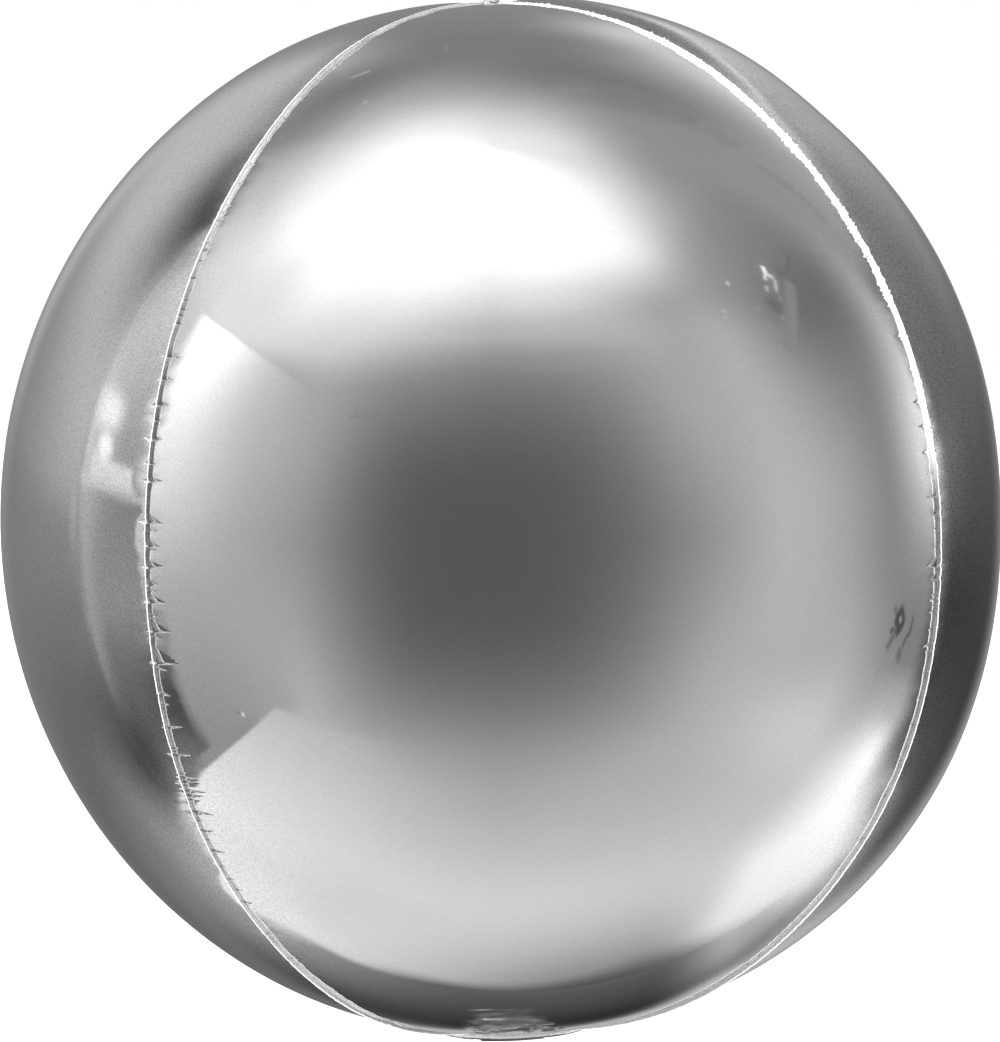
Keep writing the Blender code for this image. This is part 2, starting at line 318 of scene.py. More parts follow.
def stitched(first, second, first_at, second_at):
    """Triangles between two rows of vertices with different spacing."""
    out, i, j = [], 0, 0
    while i < len(first) - 1 or j < len(second) - 1:
        if j == len(second) - 1 or (i < len(first) - 1 and first_at[i + 1] <= second_at[j + 1]):
            out.append((first[i], first[i + 1], second[j]))
            i += 1
        else:
            out.append((first[i], second[j + 1], second[j]))
            j += 1
    return out


STRIP = np.array([0.0, 0.22, 0.5, 0.9, 1.4, 2.0, 2.8, 3.7, 4.8, 6.1, 7.6, 9.4, 11.6]) * 1e-3   # columns by a seam
MIDDLE = 24             # columns between the two strips
COARSE, NECK_COARSE = 6, 2   # the middle has one row for this many, and more of them near the neck
TOP_OPEN, BOTTOM_OPEN = 0.0012, 0.0030
SHELL = 0.0012          # depth of the closed shell that the film is shown as


def gore(name, facing_deg, row_step):
    low, high = -math.acos(BOTTOM_OPEN / HALF_HEIGHT), math.acos(TOP_OPEN / HALF_HEIGHT)
    count = int(round((high - low) * MERIDIAN / row_step / 24)) * 24
    lats = np.linspace(low, high, count + 1)
    around = envelope_radius(lats, QUARTER) * np.cos(lats)
    half = QUARTER - np.arcsin(np.clip(0.00022 / around, 0, 0.9))
    wide = around * half
    squeeze = np.minimum(1.0, 0.40 * wide / STRIP[-1])
    # columns of turn angles: the left strip, the middle, the right strip
    strip = STRIP[None, :] * (squeeze / around)[:, None]
    left = -half[:, None] + strip
    right = (half[:, None] - strip)[:, ::-1]
    share = np.linspace(0, 1, MIDDLE + 1)[1:-1]
    rows_all = np.arange(0, count + 1)
    coarse = rows_all[(rows_all % COARSE == 0) | ((rows_all % NECK_COARSE == 0) & (lats < math.radians(-52))) | (rows_all == count)]
    middle = left[coarse, -1:] + (right[coarse, :1] - left[coarse, -1:]) * share[None, :]
    k = len(STRIP)
    rows = count + 1
    left_id = np.arange(rows * k).reshape(rows, k)
    right_id = left_id + rows * k
    mid_id = np.arange(len(coarse) * len(share)).reshape(len(coarse), -1) + 2 * rows * k
    lat_all = np.concatenate([np.repeat(lats, k), np.repeat(lats, k), np.repeat(lats[coarse], len(share))])
    turn_all = np.concatenate([left.ravel(), right.ravel(), middle.ravel()])
    outer = film_point(lat_all, turn_all, facing_deg)
    step = 0.00006 / 0.2
    up = film_point(lat_all + step, turn_all, facing_deg) - film_point(lat_all - step, turn_all, facing_deg)
    stride = 0.00006 / np.maximum(0.2 * np.cos(lat_all), 0.002)
    across = film_point(lat_all, turn_all + stride, facing_deg) - film_point(lat_all, turn_all - stride, facing_deg)
    normal = np.cross(across, up)
    normal /= np.linalg.norm(normal, axis=1, keepdims=True)

    faces = [grid_quads(left_id), grid_quads(right_id), grid_quads(mid_id)]
    triangles = []
    for fine, rough, flip in ((left_id[:, -1], mid_id[:, 0], False), (right_id[:, 0], mid_id[:, -1], True)):
        tris = stitched(list(fine), list(rough), list(range(rows)), list(coarse + 0.5))
        for a, b, c in tris:
            triangles.append((a, c, b) if not flip else (a, b, c))
    outer_count = len(outer)

    # the inner side, much coarser, closes the shell
    inner_rows = np.unique(np.concatenate([np.arange(0, count + 1, 48), [count]]))
    inner_cols = 10
    inner_turn = left[inner_rows, :1] + (right[inner_rows, -1:] - left[inner_rows, :1]) * np.linspace(0, 1, inner_cols)[None, :]
    inner_lat = np.repeat(lats[inner_rows], inner_cols)
    r = envelope_radius(inner_lat, inner_turn.ravel() + math.radians(facing_deg)) - SHELL
    inner = to_point(r, inner_lat, inner_turn.ravel() + math.radians(facing_deg))
    inner_id = np.arange(len(inner)).reshape(len(inner_rows), inner_cols) + outer_count
    faces.append(grid_quads(inner_id)[:, ::-1])
    rims = []
    rims += [(a, b, c) for a, b, c in stitched(list(left_id[:, 0]), list(inner_id[:, 0]), list(range(rows)), list(inner_rows))]
    rims += [(a, c, b) for a, b, c in stitched(list(right_id[:, -1]), list(inner_id[:, -1]), list(range(rows)), list(inner_rows))]
    for row, edge, flip in ((0, 0, True), (-1, -1, False)):
        ids = list(left_id[row]) + list(mid_id[row]) + list(right_id[row])
        at = list(np.concatenate([left[row], middle[0 if row == 0 else -1], right[row]]))
        tris = stitched(ids, list(inner_id[edge]), at, list(inner_turn[edge]))
        rims += [(a, c, b) if flip else (a, b, c) for a, b, c in tris]
    points = np.concatenate([outer, inner])
    all_faces = [tuple(f) for block in faces for f in block] + triangles + rims
    per_vertex = np.concatenate([normal, -inner / np.linalg.norm(inner, axis=1, keepdims=True)])
    corners = np.concatenate([np.asarray(f) for f in all_faces])
    normals = per_vertex[corners]
    rim = np.array(rims)
    flat = np.cross(points[rim[:, 1]] - points[rim[:, 0]], points[rim[:, 2]] - points[rim[:, 0]])
    length = np.linalg.norm(flat, axis=1, keepdims=True)
    flat = np.where(length > 0, flat / np.maximum(length, 1e-30), per_vertex[rim[:, 0]])
    normals[len(corners) - 3 * len(rims) :] = np.repeat(flat, 3, axis=0)
    obj = mesh_object(name, points, all_faces, normals)
    # how near each point is to a seam, for the film's grain
    away = np.concatenate([np.repeat(around, k) * (QUARTER - np.abs(left.ravel())), np.repeat(around, k) * (QUARTER - np.abs(right.ravel())),
                           np.repeat(around[coarse], len(share)) * (QUARTER - np.abs(middle.ravel())), np.full(len(inner), 0.1)])
    point_values(obj, "seam_near", np.exp(-away / 0.016) * (0.25 + 0.75 * smooth(-points[:, 2], 0.02, 0.10)))
    if facing_deg == 0:
        point_values(obj, "weld_haze", neck_haze(points))
    return obj


# ---- Seam flanges ------------------------------------------------------------------
# share of the flange's height, half thickness in mm
FLANGE_SECTION = [(-0.60, 0.18), (0.0, 0.16), (0.16, 0.11), (0.42, 0.08), (0.66, 0.09), (0.82, 0.18), (0.94, 0.15)]


def crinkle_share(azimuth_deg, lats):
    """How crumpled a seam's flange is, from nearly flat to fully crumpled."""
    deg = np.degrees(lats)
    if azimuth_deg == 315:
        return 0.22 + 0.9 * smooth(-deg, 7, 13) * smooth(deg, -36, -27) + 0.5 * smooth(deg, 40, 70)
    if azimuth_deg == 45:
        return 0.08 + 0.65 * smooth(-deg, -10, -2) * smooth(deg, -50, -35) + 0.35 * smooth(deg, 68, 80)
    return 0.35 + 0.5 * smooth(-deg, -15, 0)


def dull_share(azimuth_deg, lats):
    """How hazy the whole of a seam's flange is."""
    deg = np.degrees(lats)
    if azimuth_deg == 45:
        return 0.08 + 0.92 * smooth(deg, 4, 13)
    if azimuth_deg == 315:
        return 0.05 + 0.55 * smooth(deg, 30, 42)
    return np.full_like(deg, 0.3)


def flange(name, azimuth_deg, height, top_open, bottom_open, row_step):
    """Two films welded face to face: a crinkled ribbon that stands out of the seam."""
    azimuth = math.radians(azimuth_deg)
    low, high = -math.acos(bottom_open / HALF_HEIGHT), math.acos(top_open / HALF_HEIGHT)
    count = int((high - low) * 0.205 / row_step)
    lats = np.linspace(low, high, count + 1)
    along = lats * MERIDIAN
    base = envelope_radius(lats, azimuth)
    rows = PUCKERS[int(azimuth_deg) % 360]
    pick = np.random.default_rng(int(azimuth_deg) + 500)
    kink = np.zeros_like(along)
    dip = np.zeros_like(along)
    for lat, reach, rise, fall, tilt, side_reach in rows:
        centre = math.radians(lat) * MERIDIAN
        deep = math.tan(math.radians(tilt)) * rise * 1e-3 + 0.0001
        kink += pick.choice([-1, 1]) * min(deep * 0.30, 0.00012) * np.exp(-(((along - centre) / 0.0011) ** 2))
        dip = np.maximum(dip, min(deep * 0.45, 0.00030) * np.exp(-(((along - centre) / 0.0008) ** 2)))
    seed = azimuth_deg * 0.37
    rough = crinkle_share(azimuth_deg, lats)
    fade = smooth(np.cos(lats), 0.01, 0.06)
    tall = height * (1 + 0.035 * noise3(along / 0.005, seed, 0) + (0.02 + 0.05 * rough) * noise3(along / 0.0011, seed, 4)) - dip
    if azimuth_deg == 45:
        upper = smooth(lats, 0.02, 0.20)
        tall = tall * (1 - 0.16 * upper) + 0.0011 * upper * np.clip(noise3(along / 0.0009, seed, 11) - 0.15, 0, 1)
    tall = tall * (0.55 + 0.45 * fade) * (1 - 0.52 * smooth(lats, math.radians(60), math.radians(76)))
    outward = to_point(np.ones_like(lats), lats, azimuth)
    # the fin stands square to the film, along the surface's own normal in the seam's plane
    step = 1e-4
    run = to_point(envelope_radius(lats + step, azimuth), lats + step, azimuth) - to_point(envelope_radius(lats - step, azimuth), lats - step, azimuth)
    run /= np.linalg.norm(run, axis=1, keepdims=True)
    side = np.array([math.cos(azimuth), math.sin(azimuth), 0.0])
    out = np.cross(side, run)
    out *= np.sign((out * outward).sum(1, keepdims=True))
    root = to_point(base, lats, azimuth)
    ring = [(s, t, -1) for s, t in FLANGE_SECTION] + [(1.0, 0.0, 0)] + [(s, t, 1) for s, t in reversed(FLANGE_SECTION)]
    columns = []
    for share, thick, way in ring:
        h = max(share, 0.0)
        lean = (kink * h + 0.00016 * h * noise3(along / 0.010, seed, 0) + rough * 0.00009 * h**0.7 * noise3(along / 0.0018, seed + h * 0.9, 2)
                + rough * 0.000028 * h**0.5 * noise3(along / 0.0008, seed + h * 2.2, 7))
        bead = thick * (1 + (0.35 * noise3(along / 0.0010, seed + way, 9) if share > 0.8 else 0.0))
        columns.append(root + out * (tall * share)[:, None] + side * (lean + way * bead * 1e-3)[:, None])
    grid = np.stack(columns, 1)
    n = grid.shape[1]
    ids = np.arange((count + 1) * n).reshape(count + 1, n)
    nxt = np.roll(ids, -1, axis=1)
    quads = np.stack([ids[:-1], nxt[:-1], nxt[1:], ids[1:]], -1).reshape(-1, 4)
    faces = [tuple(q) for q in quads] + [tuple(ids[0][::-1]), tuple(ids[-1])]
    obj = mesh_object(name, grid.reshape(-1, 3), faces)
    # how far the weld has lost its mirror finish: along its free edge, and on the whole of some stretches
    bead = np.array([float(smooth(np.array(s), 0.62, 0.82)) for s, _, _ in ring])[None, :]
    dull = dull_share(azimuth_deg, lats)[:, None]
    point_values(obj, "weld_haze", np.clip(0.85 * bead * (1 - dull) + dull, 0, 1).ravel())
    return obj


# ---- Gathered film: crown tip, neck collar ---------------------------------------------
def closed_loft(name, grid, extra=None):
    """A closed body from rings of points, with a fan at each end."""
    around = grid.shape[1]
    ids = np.arange(grid.shape[0] * around).reshape(-1, around)
    nxt = np.roll(ids, -1, axis=1)
    quads = np.stack([ids[:-1], nxt[:-1], nxt[1:], ids[1:]], -1).reshape(-1, 4)
    faces = [tuple(q) for q in quads]
    points = list(map(tuple, grid.reshape(-1, 3)))
    for row, flip in ((0, True), (-1, False)):
        centre = len(points)
        points.append(tuple(grid[row].mean(0)))
        for a, b in zip(ids[row], nxt[row]):
            faces.append((b, a, centre) if flip else (a, b, centre))
    for more_points, more_faces in extra or []:
        start = len(points)
        points += list(map(tuple, more_points))
        faces += [tuple(i + start for i in f) for f in more_faces]
    obj = mesh_object(name, points, faces)
    obj.data.set_sharp_from_angle(angle=math.radians(70))
    return obj


def sections_between(sections, per_step):
    """Rows between the given ones, on a smooth curve through them."""
    table = np.array(sections, float)
    rows = []
    for s in np.linspace(0, len(table) - 1, per_step * (len(table) - 1) + 1):
        i = min(int(s), len(table) - 2)
        f = s - i
        p0, p1, p2, p3 = table[max(i - 1, 0)], table[i], table[i + 1], table[min(i + 2, len(table) - 1)]
        rows.append(0.5 * (2 * p1 + (p2 - p0) * f + (2 * p0 - 5 * p1 + 4 * p2 - p3) * f * f + (3 * p1 - p0 - 3 * p2 + p3) * f**3))
    return np.array(rows)


def lofted(name, sections, around, per_step, crumple, seed, cell=0.0030, extra=None):
    """Rings through a few sections (half x, half y, z, offset x, droop at the ends), with crumpled film between."""
    angle = np.linspace(0, 2 * math.pi, around, endpoint=False)
    rows = sections_between(sections, per_step)
    hx, hy, z0, ox, droop = (rows[:, i : i + 1] for i in range(5))
    x, y = hx * np.cos(angle) + ox, hy * np.sin(angle)
    z = z0 - droop * np.cos(angle) ** 2
    grid = np.stack([x, y, z + 0 * x], -1)
    pleat = folds(x / cell + seed, y / cell, z / (cell * 0.8)) - 0.4
    flat = np.stack([np.cos(angle), np.sin(angle), np.zeros_like(angle)], -1)[None]
    ends = np.sin(np.linspace(0, math.pi, len(grid))) ** 0.3
    grid = grid + flat * (pleat * crumple * ends[:, None])[..., None]
    return closed_loft(name, grid, extra)


def flap(start, end, rise, thick, crumple, seed, nu=18, nv=10):
    """A small folded bit of film: a thin crumpled plate from start to end, standing along rise."""
    start, end, rise = (np.array(v) * 1e-3 for v in (start, end, rise))
    u, v = np.meshgrid(np.linspace(0, 1, nu), np.linspace(0, 1, nv), indexing="ij")
    middle = start + (end - start) * u[..., None] + rise * v[..., None]
    across = np.cross(end - start, rise)
    across /= np.linalg.norm(across)
    bend = (folds(middle[..., 0] / 0.0019 + seed, middle[..., 1] / 0.0019, middle[..., 2] / 0.0019) - 0.35) * crumple * 1e-3
    bend += 0.4e-3 * crumple * np.sin(u * 7 + seed) * v
    body = thick * 0.5e-3 * (1 - (2 * u - 1) ** 8) * (1 - (2 * v - 1) ** 8) + 2e-5
    top, low = middle + across * (bend + body)[..., None], middle + across * (bend - body)[..., None]
    ids = np.arange(nu * nv).reshape(nu, nv)
    under = ids + nu * nv
    faces = [tuple(q) for q in grid_quads(ids)] + [tuple(q[::-1]) for q in grid_quads(under)]
    border = list(ids[:, 0]) + list(ids[-1, 1:]) + list(ids[-2::-1, -1]) + list(ids[0, -2:0:-1])
    for a, b in zip(border, border[1:] + border[:1]):
        faces.append((a, b, b + nu * nv, a + nu * nv))
    return np.concatenate([top.reshape(-1, 3), low.reshape(-1, 3)]), [tuple(int(i) for i in f)[::-1] for f in faces]


def strip_film(name, half_wide, start, end, height, thick, seed, crumple, edge_zig, weld=0.0, sag=0.0, offset=0.0):
    """A length of flat film running back along +Y under the envelope, a little crumpled, its mouth cut with small teeth."""
    nx, ny = 56, 110
    u = np.linspace(-1, 1, nx + 1)
    v = np.linspace(0, 1, ny + 1) ** 1.25
    V, U = np.meshgrid(v, u, indexing="ij")
    zig = edge_zig * np.abs(((U * half_wide / 0.0011) % 1.0) * 2 - 1)
    y = start + (end - start - zig) * V
    gone = V * (end - start)
    narrow = 1 - 0.05 * np.exp(-gone / 0.006)
    x = U * half_wide * narrow + 0.0002 * noise3(y / 0.004, 3, 0) * np.abs(U) ** 4 + offset * np.exp(-gone / 0.012)
    # the sleeve's own wave, the same for each of its films, then each film's own
    shared = 0.0011 * noise3(x / 0.021 + 5, y / 0.017, 0) + 0.0004 * noise3(x / 0.007, y / 0.008 + 3, 5)
    shared *= smooth(gone, 0.026, 0.046)
    shared += 0.0024 * smooth(V, 0.25, 1.0) * V
    own = crumple * (folds(x / 0.004 + seed, y / 0.005, seed) - 0.3) * (1 - np.abs(U) ** 6) * smooth(gone, 0.002, 0.008)
    ribs = 0.00004 * np.sin(y / 0.0007 * math.pi) * smooth(np.abs(U) * half_wide, half_wide - weld, half_wide - weld + 0.0004) if weld else 0.0
    lip = -sag * (1 - U**2) ** 1.3 * np.exp(-((gone / 0.0030) ** 2))
    z = FOLD_Z + height + shared + own * (1 if height >= 0 else -1) + ribs + lip
    top = np.stack([x, y, z + thick / 2], -1)
    bottom = np.stack([x, y, z - thick / 2], -1)
    n = nx + 1
    top_id = np.arange((ny + 1) * n).reshape(ny + 1, n)
    low_id = top_id + (ny + 1) * n
    faces = [tuple(q) for q in grid_quads(top_id)] + [tuple(q[::-1]) for q in grid_quads(low_id)]
    border = list(top_id[0, :]) + list(top_id[1:, -1]) + list(top_id[-1, -2::-1]) + list(top_id[-2:0:-1, 0])
    shift = (ny + 1) * n
    for a, b in zip(border, border[1:] + border[:1]):
        faces.append((b, a, a + shift, b + shift))
    obj = mesh_object(name, np.concatenate([top.reshape(-1, 3), bottom.reshape(-1, 3)]), faces)
    obj.data.set_sharp_from_angle(angle=math.radians(60))
    return obj


# ---- Materials --------------------------------------------------------------------
def nodes_of(material):
    tree = material.node_tree
    return tree.nodes, tree.links


def add(nodes, kind, **values):
    made = nodes.new(kind)
    for key, value in values.items():
        setattr(made, key, value)
    return made


FILM_TONE = 0.90


def foil(name, rough, grain, seam_grain, wave, edge_rough=0.0, film_tone=FILM_TONE):
    """Bright metallised film: fine grain in the tone, a little unevenness in the gloss, and faint long drawing lines."""
    material = bpy.data.materials.new(name)
    material.use_nodes = True
    nodes, links = nodes_of(material)
    shader = nodes["Principled BSDF"]
    shader.inputs["Metallic"].default_value = 1.0
    place = add(nodes, "ShaderNodeTexCoord")
    speck = add(nodes, "ShaderNodeTexNoise", noise_dimensions="3D")
    speck.inputs["Scale"].default_value = 1500.0
    speck.inputs["Detail"].default_value = 0.0
    links.new(place.outputs["Object"], speck.inputs["Vector"])
    near = add(nodes, "ShaderNodeAttribute", attribute_name="seam_near")
    amount = add(nodes, "ShaderNodeMath", operation="MULTIPLY_ADD")
    amount.inputs[1].default_value = seam_grain
    amount.inputs[2].default_value = grain
    links.new(near.outputs["Fac"], amount.inputs[0])
    centred = add(nodes, "ShaderNodeMath", operation="SUBTRACT")
    centred.inputs[1].default_value = 0.5
    links.new(speck.outputs["Fac"], centred.inputs[0])
    scaled = add(nodes, "ShaderNodeMath", operation="MULTIPLY_ADD", use_clamp=True)
    scaled.inputs[2].default_value = film_tone
    links.new(centred.outputs[0], scaled.inputs[0])
    links.new(amount.outputs[0], scaled.inputs[1])
    colour = add(nodes, "ShaderNodeCombineColor")
    for channel in ("Red", "Green", "Blue"):
        links.new(scaled.outputs[0], colour.inputs[channel])
    links.new(colour.outputs["Color"], shader.inputs["Base Color"])
    cloud = add(nodes, "ShaderNodeTexNoise", noise_dimensions="3D")
    cloud.inputs["Scale"].default_value = 38.0
    cloud.inputs["Detail"].default_value = 3.0
    links.new(place.outputs["Object"], cloud.inputs["Vector"])
    gloss = add(nodes, "ShaderNodeMapRange")
    gloss.inputs["From Min"].default_value = 0.3
    gloss.inputs["From Max"].default_value = 0.7
    gloss.inputs["To Min"].default_value = rough * 0.7
    gloss.inputs["To Max"].default_value = rough * 1.35
    links.new(cloud.outputs["Fac"], gloss.inputs["Value"])
    if edge_rough:
        edge = add(nodes, "ShaderNodeAttribute", attribute_name="weld_haze")
        rougher = add(nodes, "ShaderNodeMath", operation="MULTIPLY_ADD")
        rougher.inputs[1].default_value = edge_rough
        links.new(edge.outputs["Fac"], rougher.inputs[0])
        links.new(gloss.outputs["Result"], rougher.inputs[2])
        links.new(rougher.outputs[0], shader.inputs["Roughness"])
        bare = add(nodes, "ShaderNodeMath", operation="MULTIPLY_ADD")
        bare.inputs[1].default_value, bare.inputs[2].default_value = -0.80, 1.0
        links.new(edge.outputs["Fac"], bare.inputs[0])
        links.new(bare.outputs[0], shader.inputs["Metallic"])
    else:
        links.new(gloss.outputs["Result"], shader.inputs["Roughness"])
    stretch = add(nodes, "ShaderNodeMapping")
    stretch.inputs["Scale"].default_value = (60.0, 60.0, 420.0)
    links.new(place.outputs["Object"], stretch.inputs["Vector"])
    drawn = add(nodes, "ShaderNodeTexNoise", noise_dimensions="3D")
    drawn.inputs["Scale"].default_value = 1.0
    drawn.inputs["Detail"].default_value = 3.0
    links.new(stretch.outputs["Vector"], drawn.inputs["Vector"])
    both = add(nodes, "ShaderNodeMath", operation="MULTIPLY_ADD")
    both.inputs[1].default_value = 0.05
    links.new(speck.outputs["Fac"], both.inputs[0])
    links.new(drawn.outputs["Fac"], both.inputs[2])
    bump = add(nodes, "ShaderNodeBump")
    bump.inputs["Strength"].default_value = 1.0
    bump.inputs["Distance"].default_value = wave
    links.new(both.outputs[0], bump.inputs["Height"])
    links.new(bump.outputs["Normal"], shader.inputs["Normal"])
    return material


def valve_plastic():
    """Clear film gone slightly milky, with faint extrusion lines along it."""
    material = bpy.data.materials.new("valve_film_plastic")
    material.use_nodes = True
    nodes, links = nodes_of(material)
    shader = nodes["Principled BSDF"]
    shader.inputs["IOR"].default_value = 1.5
    shader.inputs["Transmission Weight"].default_value = 0.35
    place = add(nodes, "ShaderNodeTexCoord")
    cloud = add(nodes, "ShaderNodeTexNoise")
    cloud.inputs["Scale"].default_value = 160.0
    cloud.inputs["Detail"].default_value = 4.0
    links.new(place.outputs["Object"], cloud.inputs["Vector"])
    ramp = add(nodes, "ShaderNodeValToRGB")
    ramp.color_ramp.elements[0].position, ramp.color_ramp.elements[1].position = 0.35, 0.7
    ramp.color_ramp.elements[0].color, ramp.color_ramp.elements[1].color = (0.72, 0.75, 0.78, 1), (0.9, 0.91, 0.92, 1)
    links.new(cloud.outputs["Fac"], ramp.inputs["Fac"])
    links.new(ramp.outputs["Color"], shader.inputs["Base Color"])
    gloss = add(nodes, "ShaderNodeMapRange")
    gloss.inputs["To Min"].default_value, gloss.inputs["To Max"].default_value = 0.2, 0.42
    links.new(cloud.outputs["Fac"], gloss.inputs["Value"])
    links.new(gloss.outputs["Result"], shader.inputs["Roughness"])
    stretch = add(nodes, "ShaderNodeMapping")
    stretch.inputs["Scale"].default_value = (900.0, 12.0, 900.0)
    links.new(place.outputs["Object"], stretch.inputs["Vector"])
    lines = add(nodes, "ShaderNodeTexNoise")
    lines.inputs["Scale"].default_value = 1.0
    links.new(stretch.outputs["Vector"], lines.inputs["Vector"])
    bump = add(nodes, "ShaderNodeBump")
    bump.inputs["Strength"].default_value = 0.3
    bump.inputs["Distance"].default_value = 0.0001
    links.new(lines.outputs["Fac"], bump.inputs["Height"])
    links.new(bump.outputs["Normal"], shader.inputs["Normal"])
    return material


# gloss, grain all over, more grain by the seams, depth of the drawing lines
FRONT_FOIL = foil("foil_front", 0.05, 0.12, 1.0, 0.000003, edge_rough=0.20)
RIGHT_FOIL = foil("foil_right", 0.06, 1.25, 0.3, 0.000006)
LEFT_FOIL = foil("foil_left", 0.06, 0.55, 0.6, 0.000005)
BACK_FOIL = foil("foil_back", 0.055, 0.5, 0.6, 0.000005)
WELD_FOIL = foil("foil_weld", 0.12, 0.25, 0.0, 0.00001, edge_rough=0.25, film_tone=0.98)
NECK_FOIL = foil("foil_neck", 0.10, 0.3, 0.0, 0.00001)
TAIL_FOIL = foil("foil_tail", 0.09, 0.2, 0.0, 0.00001)
PLASTIC = valve_plastic()

# ---- Assembly ------------------------------------------------------------------------
# node, direction it faces in degrees, material, metres between rows of its mesh
GORES = [("gore_front", 0, FRONT_FOIL, 0.00025), ("gore_right", 90, RIGHT_FOIL, 0.00030),
         ("gore_back", 180, BACK_FOIL, 0.00042), ("gore_left", 270, LEFT_FOIL, 0.00030)]
SEAMS = [("seam_flange_front_right", 45, 0.00030), ("seam_flange_back_right", 135, 0.00055),
         ("seam_flange_back_left", 225, 0.00055), ("seam_flange_front_left", 315, 0.00030)]


def placed(obj, material, body, node):
    obj.data.materials.append(material)
    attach(obj, body)
    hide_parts(node)
    return obj


for node, facing, finish, row_step in GORES:
    placed(gore(node + "_film", facing, row_step), finish, "envelope", node)
for node, azimuth, row_step in SEAMS:
    placed(flange(node + "_fin", azimuth, FIN_TALL, 0.0022, 0.0085, row_step), WELD_FOIL, "envelope", node)

tip = lofted("crown_tip_film", [(0.0012, 0.0012, 0.1988, 0, 0), (0.0034, 0.0030, 0.1998, 0, 0), (0.0036, 0.0020, 0.2006, 0, 0), (0.0030, 0.0007, 0.2013, 0, 0), (0.0031, 0.0005, 0.2022, 0, 0), (0.0024, 0.0002, 0.2026, 0, 0)],
             72, 9, 0.0007, 3.0)
placed(tip, WELD_FOIL, "envelope", "crown_tip")

# half x, half y, z, offset x, droop at the two ends
COLLAR_SECTIONS = [
    (0.0310, 0.0230, -0.1985, 0.0010, 0.0), (0.0310, 0.0215, -0.2018, 0.0010, -0.0002), (0.0278, 0.0170, -0.2033, 0.0012, -0.0002),
    (0.0222, 0.0112, -0.2039, 0.0016, 0.0), (0.0165, 0.0062, -0.2042, 0.0020, 0.0), (0.0134, 0.0040, -0.2044, 0.0020, 0.0),
    (0.0122, 0.0020, -0.2046, 0.0020, 0.0), (0.0114, 0.0008, -0.2049, 0.0018, 0.0),
]
# small folds of film beside the collar: start, end, rise, thickness, crumple (mm), seed
COLLAR_FLAPS = [
    flap((-19.2, -5.4, -202.4), (-15.0, -6.2, -202.6), (-0.4, -0.9, -2.2), 0.5, 0.30, 1.0),
    flap((16.2, -5.2, -201.8), (18.2, -5.8, -202.0), (0.2, -0.8, -2.6), 0.6, 0.25, 2.0),
]
collar = lofted("neck_collar_film", COLLAR_SECTIONS, 260, 9, 0.0005, 1.0, cell=0.0042, extra=COLLAR_FLAPS)
placed(collar, NECK_FOIL, "envelope", "neck_collar")

half = NECK_WIDE / 2
upper = strip_film("tail_upper_film_sleeve", half, 0.0004, TAIL_LONG, 0.00052, 0.00022, 1.0, 0.0004, 0.0007, weld=0.0025, offset=0.0010)
placed(upper, TAIL_FOIL, "tail", "tail_upper_film")
lower = strip_film("tail_lower_film_sleeve", half, -0.0008, TAIL_LONG, -0.00052, 0.00022, 2.0, 0.0004, 0.0007, weld=0.0025, sag=0.0004, offset=0.0010)
placed(lower, TAIL_FOIL, "tail", "tail_lower_film")
valve = strip_film("valve_film_sleeve", 0.0085, 0.0010, TAIL_LONG - 0.0030, 0.0, 0.00016, 3.0, 0.0, 0.0, offset=0.0010)
placed(valve, PLASTIC, "tail", "valve_film")

# ---- Camera -----------------------------------------------------------------------------
azimuth, elevation, roll = (math.radians(v) for v in (CAMERA_AZIMUTH, CAMERA_ELEVATION, CAMERA_ROLL))
back = Vector((math.sin(azimuth) * math.cos(elevation), -math.cos(azimuth) * math.cos(elevation), math.sin(elevation)))
level = Vector((math.cos(azimuth), math.sin(azimuth), 0.0))
up = back.cross(level)
lens_right = level * math.cos(roll) - up * math.sin(roll)
lens_up = level * math.sin(roll) + up * math.cos(roll)
camera = bpy.data.objects.new("camera", bpy.data.cameras.new("camera"))
bpy.context.scene.collection.objects.link(camera)
camera.matrix_world = Matrix.Translation(back * CAMERA_FAR) @ Matrix((lens_right, lens_up, back)).transposed().to_4x4()
camera.data.sensor_fit = "AUTO"
camera.data.sensor_width = 36.0
camera.data.lens = CAMERA_LENS
camera.data.shift_x, camera.data.shift_y = SHIFT_X, SHIFT_Y
camera.data.clip_start, camera.data.clip_end = 0.01, 100.0
bpy.context.scene.camera = camera

